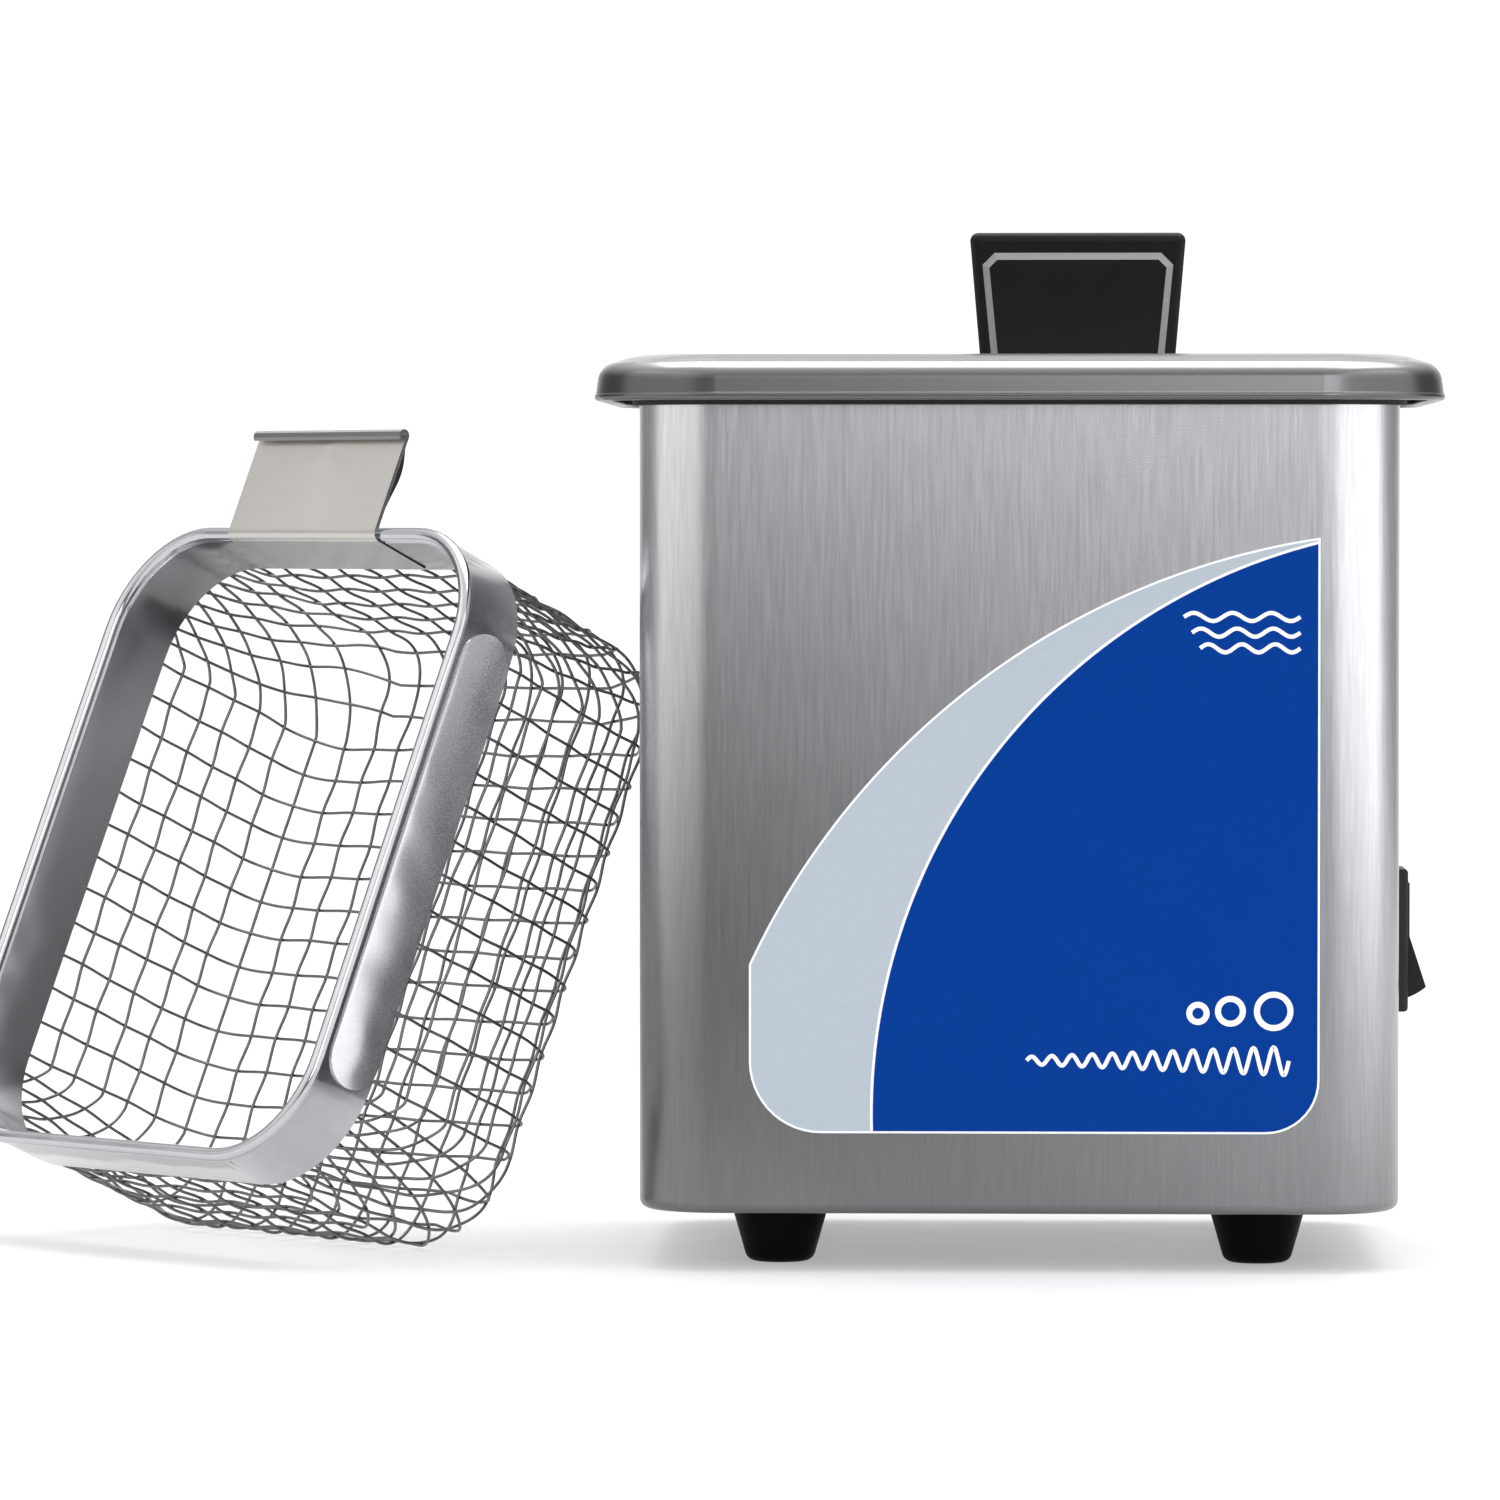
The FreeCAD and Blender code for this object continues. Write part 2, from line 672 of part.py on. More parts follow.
def capacitors():
    out = []
    for x, y in ((30, 14), (43, 14), (30, -22)):
        can = rod(x, y, BOARD_TOP, 5.4, 13)
        out.append(can.makeFillet(0.9, [can.Edges[0]]))
    return Part.makeCompound(out)


def film_capacitors():
    out = []
    for x, y in ((34, -6), (-16, 28), (4, 28)):
        brick = block(x, y, BOARD_TOP, 16, 7, 10)
        out.append(brick.makeFillet(0.6, brick.Edges))
    return Part.makeCompound(out)


def rectifier():
    brick = block(10, 4, BOARD_TOP + 1.5, 16, 4.5, 10)
    legs = [block(10 + d, 4, BOARD_TOP, 1.1, 0.9, 2) for d in (-6, -2, 2, 6)]
    return join([brick] + legs)


def choke():
    torus = Part.makeTorus(6.2, 3.2, V(-8, 6, BOARD_TOP + 3.3))
    return torus


def fuse_clips():
    out = []
    for x in (-37, -21):
        clip = block(x, -26, BOARD_TOP, 4, 7.6, 6.5)
        out.append(clip.cut(rod(x - 3, -26, BOARD_TOP + 4.2, 2.75, 6, V(1, 0, 0))))
    return Part.makeCompound(out)


def fuse():
    return rod(-39, -26, BOARD_TOP + 4.2, 2.6, 20, V(1, 0, 0))


def terminal_block():
    out = []
    for x in (20, 28, 36, 44):
        brick = block(x, 31.5, BOARD_TOP, 7.6, 7.6, 10)
        out.append(brick.cut(rod(x, 31.5, BOARD_TOP + 6, 2.0, 5)))
    return Part.makeCompound(out)


def mains_leads():
    y0 = CASE_D / 2 - 26.8
    z = INLET_Z
    zs = SW_Z
    end = BOARD_TOP + 8.2
    return Part.makeCompound([
        lead([(INLET_X - 7, y0, z - 2), (INLET_X - 7, y0 - 5, z + 6), (-24, 30, 60),
              (10, 36, 64), (46, 36, 61), (60, 8, 58), (52, -14, 55),
              (44.2, SW_Y, zs - 8)], 1.1),
        lead([(44.2, SW_Y, zs), (40, -27, 54), (50, -27, 42), (60, -6, 37), (54, 20, 37),
              (45, 30, 37), (44, 31.5, end)], 1.1),
        lead([(INLET_X + 7, y0, z - 2), (-15, 30, 38), (2, 36, 42), (22, 39, 44),
              (35, 35, 40), (36, 31.5, end)], 1.1),
    ])


def transducer_leads():
    z = TANK_UNDER - FRONT_MASS_H - ELECTRODE_H - PIEZO_H - 1.6
    y = PIEZO_R + 7.5
    end = BOARD_TOP + 7.5
    return Part.makeCompound([
        lead([(TRANS_X, y, z), (31, 30, 50), (29, 31, 38), (28, 31.5, end)], 0.8),
        lead([(-TRANS_X, y, z), (-20, 25, 56), (2, 23, 46), (17, 28, 38), (20, 31.5, end)], 0.8),
    ])


def earth_stud():
    y = CASE_D / 2 - CASE_T
    stud = rod(-50, y - 10, 24, 2.0, 10, V(0, 1, 0))
    nut = hex_nut(4.0, 2.05, 3.0)
    nut.rotate(V(0, 0, 0), V(1, 0, 0), 90)
    nut.translate(V(-50, y - 1.2, 24))
    return stud, nut


def earth_lead():
    y0 = CASE_D / 2 - 26.8
    return lead([(INLET_X, y0, INLET_Z + 2), (-34, 25, 40), (-50, 32, 31), (-56, 42, 25),
                 (-53, 47.2, 24)], 1.1)


# ---------------------------------------------------------------- basket

def placed(shape):
    turn = FreeCAD.Rotation(BASKET_YAW, 0, BASKET_ROLL)
    moved = shape.copy()
    moved.Placement = FreeCAD.Placement(BASKET_POS, turn).multiply(shape.Placement)
    return moved


def basket_centres():
    return BASKET_B / 2 - BASKET_R, BASKET_L / 2 - BASKET_R


def basket_band():
    cx, cy = basket_centres()
    out = BASKET_R - 0.6
    strip = poly([(out, -BAND_H), (out, -1.0), (out - BAND_T, -1.0), (out - BAND_T, -BAND_H)])
    bead = Part.Face(Part.Wire(Part.makeCircle(
        BASKET_BEAD, V(BASKET_R - BASKET_BEAD, 0, -BASKET_BEAD), V(0, 1, 0))))
    return placed(join(ring(strip, cx, cy) + ring(bead, cx, cy)))


def basket_mesh():
    """Closed tub that stands for the woven wire."""
    cx, cy = basket_centres()
    out = BASKET_R - 0.6 - BAND_T
    low = MESH_FILLET - BASKET_H
    edges = [
        seg((out, -2.1), (out, low)),
        bend((out - MESH_FILLET, low), MESH_FILLET, 0, -90),
        seg((out - MESH_FILLET, -BASKET_H), (0, -BASKET_H)),
    ]
    solids = ring(sheet(edges, -MESH_T), cx, cy)
    solids.append(block(0, 0, -BASKET_H, 2 * cx, 2 * cy, MESH_T))
    return placed(join(solids))


def basket_handle():
    """Folded tab on the upper short side, with a curled end and a leg down the inside."""
    inside = BASKET_L / 2 - 2.2 - TAB_T
    over = 0.05 + TAB_T
    end = BASKET_L / 2 + TAB_OUT - TAB_CURL - TAB_T
    edges = [
        seg((inside, -14), (inside, over - TAB_BEND)),
        bend((inside + TAB_BEND, over - TAB_BEND), TAB_BEND, 180, 90),
        seg((inside + TAB_BEND, over), (end, over)),
        bend((end, over + TAB_CURL), TAB_CURL, -90, 150),
    ]
    strip = sheet(edges, -TAB_T).extrude(V(0, TAB_W, 0))
    strip.translate(V(0, -TAB_X - TAB_W / 2, 0))
    strip.rotate(V(0, 0, 0), UP, 90)
    return placed(strip)


def main():
    os.makedirs("parts", exist_ok=True)
    stud, nut = earth_stud()
    nodes = {
        "housing": housing(),
        "base_plate": base_plate(),
        "base_screws": base_screws(),
        "feet": Part.makeCompound(mirror_xy(foot(), FOOT_X, FOOT_Y)),
        "foot_screws": Part.makeCompound(mirror_xy(foot_screw(), FOOT_X, FOOT_Y)),
        "foot_nuts": Part.makeCompound(mirror_xy(foot_nut(), FOOT_X, FOOT_Y)),
        "tank": tank(),
        "rim_gasket": rim_gasket(),
        "front_label": front_label(),
        "rating_plate": rating_plate(),
        "switch_body": switch_body(),
        "switch_terminals": switch_terminals(),
        "inlet_body": inlet_body(),
        "inlet_pins": inlet_pins(),
        "inlet_screws": inlet_screws(),
        "inlet_nuts": inlet_nuts(),
        "transducer_front_masses": at_both(front_mass()),
        "piezo_rings": at_both(piezo_rings()),
        "electrodes": at_both(electrodes()),
        "transducer_back_masses": at_both(back_mass()),
        "transducer_bolts": at_both(stack_bolt()),
        "circuit_board": circuit_board(),
        "board_standoffs": standoffs(),
        "board_screws": board_screws(),
        "transformer_core": transformer_core(),
        "transformer_coil": transformer_coil(),
        "heat_sink": heat_sink(),
        "power_transistors": power_transistors(),
        "capacitors": capacitors(),
        "film_capacitors": film_capacitors(),
        "rectifier": rectifier(),
        "choke": choke(),
        "fuse_clips": fuse_clips(),
        "fuse": fuse(),
        "terminal_block": terminal_block(),
        "mains_leads": mains_leads(),
        "transducer_leads": transducer_leads(),
        "earth_stud": stud,
        "earth_nut": nut,
        "earth_lead": earth_lead(),
        "lid_plate": lid_plate(),
        "lid_grip": lid_grip(),
        "lid_grip_screws": grip_screws(),
        "rocker": rocker(),
        "basket_band": basket_band(),
        "basket_mesh": basket_mesh(),
        "basket_handle": basket_handle(),
    }
    for name, shape in nodes.items():
        save(name, shape)


main()
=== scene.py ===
import json
import math

import bpy
import numpy as np
from mathutils import Matrix, Vector


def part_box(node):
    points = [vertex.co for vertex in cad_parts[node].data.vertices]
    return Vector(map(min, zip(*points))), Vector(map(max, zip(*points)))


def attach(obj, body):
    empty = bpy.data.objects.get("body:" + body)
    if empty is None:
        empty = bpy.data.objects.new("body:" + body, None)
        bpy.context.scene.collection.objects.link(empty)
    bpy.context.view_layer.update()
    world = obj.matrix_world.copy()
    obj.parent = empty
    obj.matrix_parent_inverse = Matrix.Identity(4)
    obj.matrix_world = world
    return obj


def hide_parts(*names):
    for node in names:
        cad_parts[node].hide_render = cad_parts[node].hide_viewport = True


# Small bench ultrasonic cleaner. Metres, same frame as the CAD: +X right, +Y back, +Z up,
# origin on the bench under the centre of the case.

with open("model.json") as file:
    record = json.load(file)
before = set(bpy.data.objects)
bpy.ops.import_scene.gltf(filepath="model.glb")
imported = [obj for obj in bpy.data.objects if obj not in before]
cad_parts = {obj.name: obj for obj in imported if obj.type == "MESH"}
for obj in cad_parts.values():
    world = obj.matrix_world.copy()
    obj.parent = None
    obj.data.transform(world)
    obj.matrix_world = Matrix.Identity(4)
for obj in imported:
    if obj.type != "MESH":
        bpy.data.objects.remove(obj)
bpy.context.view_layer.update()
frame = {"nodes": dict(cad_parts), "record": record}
MM = 0.001
RNG = np.random.default_rng(7)

# The basket's own frame: x across, y up its length, z out of its mouth, origin in the rim plane.
BASKET_YAW = math.radians(-44.4)
BASKET_ROLL = math.radians(66.0)
BASKET_POS = Vector((-155.82, -8.0, 79.212)) * MM
BASKET = (Matrix.Translation(BASKET_POS) @ Matrix.Rotation(BASKET_YAW, 4, "Z")
          @ Matrix.Rotation(BASKET_ROLL, 4, "X"))
BASKET_HALF_B = 53.0
BASKET_HALF_L = 64.9
BASKET_H = 60.0
BASKET_R = 22.0
CORNER_X = BASKET_HALF_B - BASKET_R
CORNER_Y = BASKET_HALF_L - BASKET_R

# The band round its mouth: a double skin with a rolled bead, and a plate on each long side.
BAND_H = 15.5
BAND_OUT = BASKET_R - 0.6
BAND_SKIN = 2.1
BAND_EDGE = 0.4
BEAD_R = 1.35

# The folded tab on the upper short side.
TAB_RIGHT = 20.3
TAB_ROOT = BASKET_HALF_L + 2.0
TAB_CURL = BASKET_HALF_L + 17.2
TAB_LENGTH = 14.5

# The woven wire: rungs across the basket, long wires along it. Drawing the sheet into a tub
# opened the long wires up on the base and closed them up on one wall.
RUNG_PITCH = 7.0
BASE_PITCH = 8.4
BASE_WIRES = 5
WALL_PITCH = (5.6, 7.2)
WIRE_R = 0.31
WIRE_SIDES = 8
WEAVE = 0.9 * WIRE_R
WIRE_TOP = 1.5 - BAND_H
MESH_BASE = 2 * WIRE_R - BASKET_H
MESH_WALL = BASKET_R - 1.4 - 2 * WIRE_R
MESH_FILLET = 9.6

# The front label on the case's front face: lengths in mm, each arc as (x, z) centre and radius.
LABEL_LEFT, LABEL_RIGHT, LABEL_LOW = -50.0, 55.7, 25.8
LABEL_CORNERS = (13.3, 10.0)
LABEL_RIM = 0.4
LABEL_STROKE = 0.75
OUTER_ARC = ((76.36, -1.47), 139.28)
BLUE_ARC = ((82.03, 29.34), 109.06)

# The raised pads on the grip's two faces: they widen upwards and end below its top.
PAD_HALF_FOOT = 16.6
PAD_FLARE = 0.0855
PAD_BELOW_TOP = 3.6
PAD_FACE = 4.8

# Which way a metal's grain runs: the noise is drawn out along the axis with the small factor.
EVEN, UP, AROUND = (1, 1, 1), (1, 1, 0.1), (1, 0.1, 1)


# ------------------------------------------------------------------ camera, light, floor

def make_camera():
    cam = bpy.data.cameras.new("camera")
    cam.sensor_width = 36.0
    cam.lens = 192.0
    cam.clip_end = 20.0
    obj = bpy.data.objects.new("camera", cam)
    bpy.context.collection.objects.link(obj)
    obj.location = (0.0, -1.5395, 0.1395)
    aim = Vector((-0.0498, -0.058, 0.0969)) - obj.location
    obj.rotation_euler = aim.to_track_quat("-Z", "Y").to_euler()
    bpy.context.scene.camera = obj


def area_light(name, place, aim, width, height, watts, colour=(1, 1, 1)):
    light = bpy.data.lights.new(name, "AREA")
    light.shape = "RECTANGLE"
    light.size = width
    light.size_y = height
    light.energy = watts
    light.color = colour
    obj = bpy.data.objects.new(name, light)
    bpy.context.collection.objects.link(obj)
    obj.location = place
    obj.rotation_euler = (Vector(aim) - Vector(place)).to_track_quat("-Z", "Y").to_euler()


def make_light():
    """A softbox on each side, one above, and one behind the camera on its right."""
    area_light("softbox_left", (-1.04, -0.60, 0.60), (0, 0, 0.3), 1.9, 1.3, 5.7, (1.0, 0.98, 0.95))
    area_light("softbox_right", (1.04, -0.60, 0.60), (0, 0, 0.3), 1.9, 1.3, 8.3)
    area_light("softbox_top", (0.1, 0.25, 1.5), (0, 0, 0.1), 1.6, 1.2, 20)
    area_light("softbox_front", (0.42, -2.3, 0.86), (0, 0, 0.3), 0.70, 1.1, 9.5, (0.96, 0.97, 1.0))
    make_world()
    bpy.context.scene.view_settings.view_transform = "Standard"


def make_world():
    """White behind the object and overhead, dim in every other direction."""
    world = bpy.data.worlds.new("studio")
    world.use_nodes = True
    tree = world.node_tree
    back = tree.nodes["Background"]
    coord = tree.nodes.new("ShaderNodeTexCoord")
    split = tree.nodes.new("ShaderNodeSeparateXYZ")
    tree.links.new(coord.outputs["Generated"], split.inputs[0])
    most = tree.nodes.new("ShaderNodeMath")
    most.operation = "MAXIMUM"
    dim, bright = 0.25, 1.15
    for i, (axis, start, end) in enumerate((("Y", 0.80, 0.97), ("Z", 0.25, 0.75))):
        ramp = tree.nodes.new("ShaderNodeMapRange")
        ramp.inputs["From Min"].default_value = start
        ramp.inputs["From Max"].default_value = end
        ramp.inputs["To Min"].default_value = dim
        ramp.inputs["To Max"].default_value = bright
        tree.links.new(split.outputs[axis], ramp.inputs["Value"])
        tree.links.new(ramp.outputs["Result"], most.inputs[i])
    tree.links.new(most.outputs[0], back.inputs["Strength"])
    back.inputs["Color"].default_value = (1.0, 1.0, 1.0, 1)
    bpy.context.scene.world = world


def make_floor():
    """Pale paper, glowing a little so that shadows stay soft; it ends where the world is white."""
    size, back, sunk = 6.0, 1.1, 0.0002
    mesh = bpy.data.meshes.new("floor")
    mesh.from_pydata([(-size, -size, 0), (size, -size, 0), (size, back, 0), (-size, back, 0)],
                     [], [(0, 1, 2, 3)])
    obj = bpy.data.objects.new("floor", mesh)
    bpy.context.collection.objects.link(obj)
    obj.location.z = -sunk
    mat = new_material("floor_paper", (0.50, 0.50, 0.503), 0.7, Emission_Strength=0.72)
    speckle(mat, 60, 0.02, 0.1)
    # Painted shade on the paper in front of the object.
    shade_floor_forward(mat)
    mesh.materials.append(mat)


def shade_floor_forward(mat):
    """Painted shade: the paper's colour and glow grey off well in front of the object, like a sweep
    that runs out of the light.
    """
    nodes, links = mat.node_tree.nodes, mat.node_tree.links
    colour = bsdf_of(mat).inputs["Base Color"]
    coord = nodes.new("ShaderNodeTexCoord")
    split = nodes.new("ShaderNodeSeparateXYZ")
    fade = nodes.new("ShaderNodeMapRange")
    fade.interpolation_type = "SMOOTHSTEP"
    fade.inputs["From Min"].default_value = -0.66
    fade.inputs["From Max"].default_value = -0.49
    mix = nodes.new("ShaderNodeMix")
    mix.data_type = "RGBA"
    mix.inputs["A"].default_value = (0.12, 0.12, 0.122, 1)
    links.new(coord.outputs["Object"], split.inputs[0])
    links.new(split.outputs["Y"], fade.inputs["Value"])
    links.new(fade.outputs["Result"], mix.inputs["Factor"])
    links.new(colour.links[0].from_socket, mix.inputs["B"])
    links.new(mix.outputs["Result"], colour)
    links.new(mix.outputs["Result"], bsdf_of(mat).inputs["Emission Color"])


# ------------------------------------------------------------------ materials

def new_material(name, colour, rough, metal=0.0, **more):
    mat = bpy.data.materials.new(name)
    mat.use_nodes = True
    bsdf = mat.node_tree.nodes["Principled BSDF"]
    bsdf.inputs["Base Color"].default_value = (*colour, 1)
    bsdf.inputs["Roughness"].default_value = rough
    bsdf.inputs["Metallic"].default_value = metal
    for key, value in more.items():
        bsdf.inputs[key.replace("_", " ")].default_value = value
    return mat


def bsdf_of(mat):
    return mat.node_tree.nodes["Principled BSDF"]


def noise(mat, scale, stretch=EVEN, detail=4.0):
    """Noise in the piece's own coordinates, stretched along an axis by a small factor there."""
    nodes, links = mat.node_tree.nodes, mat.node_tree.links
    coord = nodes.new("ShaderNodeTexCoord")
    place = nodes.new("ShaderNodeMapping")
    place.inputs["Scale"].default_value = stretch
    tex = nodes.new("ShaderNodeTexNoise")
    tex.inputs["Scale"].default_value = scale
    tex.inputs["Detail"].default_value = detail
    links.new(coord.outputs["Object"], place.inputs["Vector"])
    links.new(place.outputs["Vector"], tex.inputs["Vector"])
    return tex


def ranged(mat, source, low, high):
    """Stretches the middle of a noise, where nearly all of it lies, to run from low to high."""
    node = mat.node_tree.nodes.new("ShaderNodeMapRange")
    node.inputs["From Min"].default_value = 0.3
    node.inputs["From Max"].default_value = 0.7
    node.inputs["To Min"].default_value = low
    node.inputs["To Max"].default_value = high
    mat.node_tree.links.new(source, node.inputs["Value"])
    return node.outputs["Result"]


def tint(mat, source, colour, spread):
    """Base colour that swings by spread either side of colour."""
    nodes, links = mat.node_tree.nodes, mat.node_tree.links
    mix = nodes.new("ShaderNodeMix")
    mix.data_type = "RGBA"
    mix.inputs["A"].default_value = (*[max(0, c * (1 - spread)) for c in colour], 1)
    mix.inputs["B"].default_value = (*[min(1, c * (1 + spread)) for c in colour], 1)
    links.new(source, mix.inputs["Factor"])
    links.new(mix.outputs["Result"], bsdf_of(mat).inputs["Base Color"])


def bump(mat, source, strength, distance):
    nodes, links = mat.node_tree.nodes, mat.node_tree.links
    node = nodes.new("ShaderNodeBump")
    node.inputs["Strength"].default_value = strength
    node.inputs["Distance"].default_value = distance
    links.new(source, node.inputs["Height"])
    links.new(node.outputs["Normal"], bsdf_of(mat).inputs["Normal"])


def speckle(mat, scale, spread, strength, distance=0.0001):
    """Fine moulded or painted surface: small swings of colour, roughness and height."""
    colour = tuple(bsdf_of(mat).inputs["Base Color"].default_value)[:3]
    rough = bsdf_of(mat).inputs["Roughness"].default_value
    fine = noise(mat, scale)
    tint(mat, ranged(mat, fine.outputs["Fac"], 0, 1), colour, spread)
    broad = noise(mat, scale / 12)
    links = mat.node_tree.links
    links.new(ranged(mat, broad.outputs["Fac"], rough * 0.85, min(1, rough * 1.15)),
              bsdf_of(mat).inputs["Roughness"])
    bump(mat, fine.outputs["Fac"], strength, distance)
    return mat


def brushed(name, colour, rough, stretch, scale=1.0, spread=0.05, depth=0.25, swing=0.1):
    """Metal with a grain: noise drawn out along the axis where stretch is small.

    spread is the swing of its colour, swing that of its roughness and depth the grain's bump.
    """
    mat = new_material(name, colour, rough, 1.0, Anisotropic=0.4)
    grain = noise(mat, 900 * scale, stretch, 6.0)
    tint(mat, ranged(mat, grain.outputs["Fac"], 0, 1), colour, spread)
    links = mat.node_tree.links
    links.new(ranged(mat, grain.outputs["Fac"], rough * (1 - swing), rough * (1 + swing)),
              bsdf_of(mat).inputs["Roughness"])
    bump(mat, grain.outputs["Fac"], depth, 0.00002)
    return mat


def clouded(mat, scale, depth):
    """Adds slow waves under the grain, so that polished sheet throws soft patches of light."""
    nodes, links = mat.node_tree.nodes, mat.node_tree.links
    fine = [n for n in nodes if n.type == "BUMP"][0]
    slow = noise(mat, scale, detail=1.0)
    node = nodes.new("ShaderNodeBump")
    node.inputs["Strength"].default_value = 0.6
    node.inputs["Distance"].default_value = depth
    links.new(slow.outputs["Fac"], node.inputs["Height"])
    links.new(node.outputs["Normal"], fine.inputs["Normal"])


def around_z(mat, amount):
    """Spreads the shine sideways, across an upright grain."""
    nodes, links = mat.node_tree.nodes, mat.node_tree.links
    way = nodes.new("ShaderNodeTangent")
    way.direction_type = "RADIAL"
    way.axis = "Z"
    bsdf_of(mat).inputs["Anisotropic"].default_value = amount
    links.new(way.outputs["Tangent"], bsdf_of(mat).inputs["Tangent"])


def paint_shade_by_height(mat, low, high, share, lean, share_high=1.0):
    """Painted shade: the colour's share of itself changes from height low to height high.

    The height counts lean times X more, which tilts the change across the piece.
    """
    nodes, links = mat.node_tree.nodes, mat.node_tree.links
    colour = bsdf_of(mat).inputs["Base Color"]
    coord = nodes.new("ShaderNodeTexCoord")
    split = nodes.new("ShaderNodeSeparateXYZ")
    fade = nodes.new("ShaderNodeMapRange")
    fade.interpolation_type = "SMOOTHSTEP"
    fade.inputs["From Min"].default_value = low
    fade.inputs["From Max"].default_value = high
    fade.inputs["To Min"].default_value = share
    fade.inputs["To Max"].default_value = share_high
    shaded = nodes.new("ShaderNodeVectorMath")
    shaded.operation = "SCALE"
    slope = nodes.new("ShaderNodeMath")
    slope.operation = "MULTIPLY_ADD"
    slope.inputs[1].default_value = lean
    links.new(coord.outputs["Object"], split.inputs[0])
    links.new(split.outputs["X"], slope.inputs[0])
    links.new(split.outputs["Z"], slope.inputs[2])
    links.new(slope.outputs[0], fade.inputs["Value"])
    links.new(colour.links[0].from_socket, shaded.inputs[0])
    links.new(fade.outputs["Result"], shaded.inputs["Scale"])
    links.new(shaded.outputs["Vector"], colour)


def case_metals(m):
    """The case, tank, rim and lid; the case's grain stands upright."""
    fine = {"spread": 0.02, "depth": 0.002, "swing": 0.02}
    m["case_steel"] = brushed("case_steel", (0.78, 0.785, 0.81), 0.25, (1, 1, 0.05), 1.9,
                              spread=0.075, depth=0.001, swing=0.03)
    around_z(m["case_steel"], 0.6)
    # Painted shade: the case's colour darkens towards its bottom, more on its left side.
    paint_shade_by_height(m["case_steel"], 0.005, 0.165, 0.22, 0.4)
    m["tank_steel"] = brushed("tank_steel", (0.52, 0.52, 0.525), 0.25, UP, 2.4, **fine)
    m["rim_steel"] = brushed("rim_steel", (0.46, 0.46, 0.465), 0.25, UP, 2.4, **fine)
    # Painted shade: the rim's colour darkens down its flange.
    paint_shade_by_height(m["rim_steel"], 0.1660, 0.1692, 0.29, 0.0)
    m["lid_steel"] = brushed("lid_steel", (0.54, 0.54, 0.55), 0.24, (0.02, 1, 1))
    m["plate_film"] = brushed("plate_film", (0.72, 0.73, 0.74), 0.35, (0.02, 1, 1))


def basket_metals(m):
    """The basket's polished band and plates, its dull wire and its tab."""
    fine = {"spread": 0.01, "depth": 0.001, "swing": 0.02}
    m["band_steel"] = brushed("band_steel", (0.50, 0.51, 0.53), 0.14, (1, 0.05, 1), 0.6, 0.03, 0.05)
    clouded(m["band_steel"], 38, 0.0011)
    m["plate_band"] = brushed("plate_band", (0.76, 0.77, 0.79), 0.27, EVEN, 2.4, **fine)
    clouded(m["plate_band"], 60, 0.0022)
    m["band_inside"] = brushed("band_inside", (0.62, 0.63, 0.65), 0.2, EVEN, 2.4, **fine)
    clouded(m["band_inside"], 60, 0.0016)
    # Painted shade: the band's inner skin darkens the higher it stands.
    paint_shade_by_height(m["band_inside"], 0.096, 0.124, 1.0, 0.0, 0.40)
    m["mesh_steel"] = brushed("mesh_steel", (0.17, 0.17, 0.175), 0.34, EVEN, 0.5, 0.15)
    m["tab_steel"] = brushed("tab_steel", (0.56, 0.545, 0.52), 0.36, (1, 1, 0.08), 1.6, 0.02, 0.05)
    # Painted shade: the darker steel for the tab's leg, cut edges and curl mouth.
    m["leg_steel"] = brushed("leg_steel", (0.20, 0.20, 0.205), 0.22, (1, 1, 0.08), 1.6, 0.02, 0.03)
    # Painted shade: near-black steel for the rib under the tab.
    m["rib_steel"] = brushed("rib_steel", (0.05, 0.05, 0.052), 0.3, EVEN, 2.4, 0.02, 0.01)


def small_metals(m):
    """Fasteners, pins and the metals inside the case."""
    metals = {
        "turned_steel": ((0.45, 0.45, 0.46), 0.3, EVEN, 1.0),
        "screw_steel": ((0.6, 0.6, 0.61), 0.25, EVEN, 0.6),
        "zinc_steel": ((0.58, 0.57, 0.52), 0.35, EVEN, 0.6),
        "machined_aluminium": ((0.78, 0.79, 0.8), 0.3, UP, 1.0),
        "pin_nickel": ((0.7, 0.69, 0.66), 0.2, AROUND, 0.6),
        "terminal_brass": ((0.78, 0.6, 0.28), 0.25, AROUND, 0.6),
        "choke_winding": ((0.6, 0.26, 0.1), 0.3, UP, 0.5),
    }
    for name, look in metals.items():
        m[name] = brushed(name, *look)


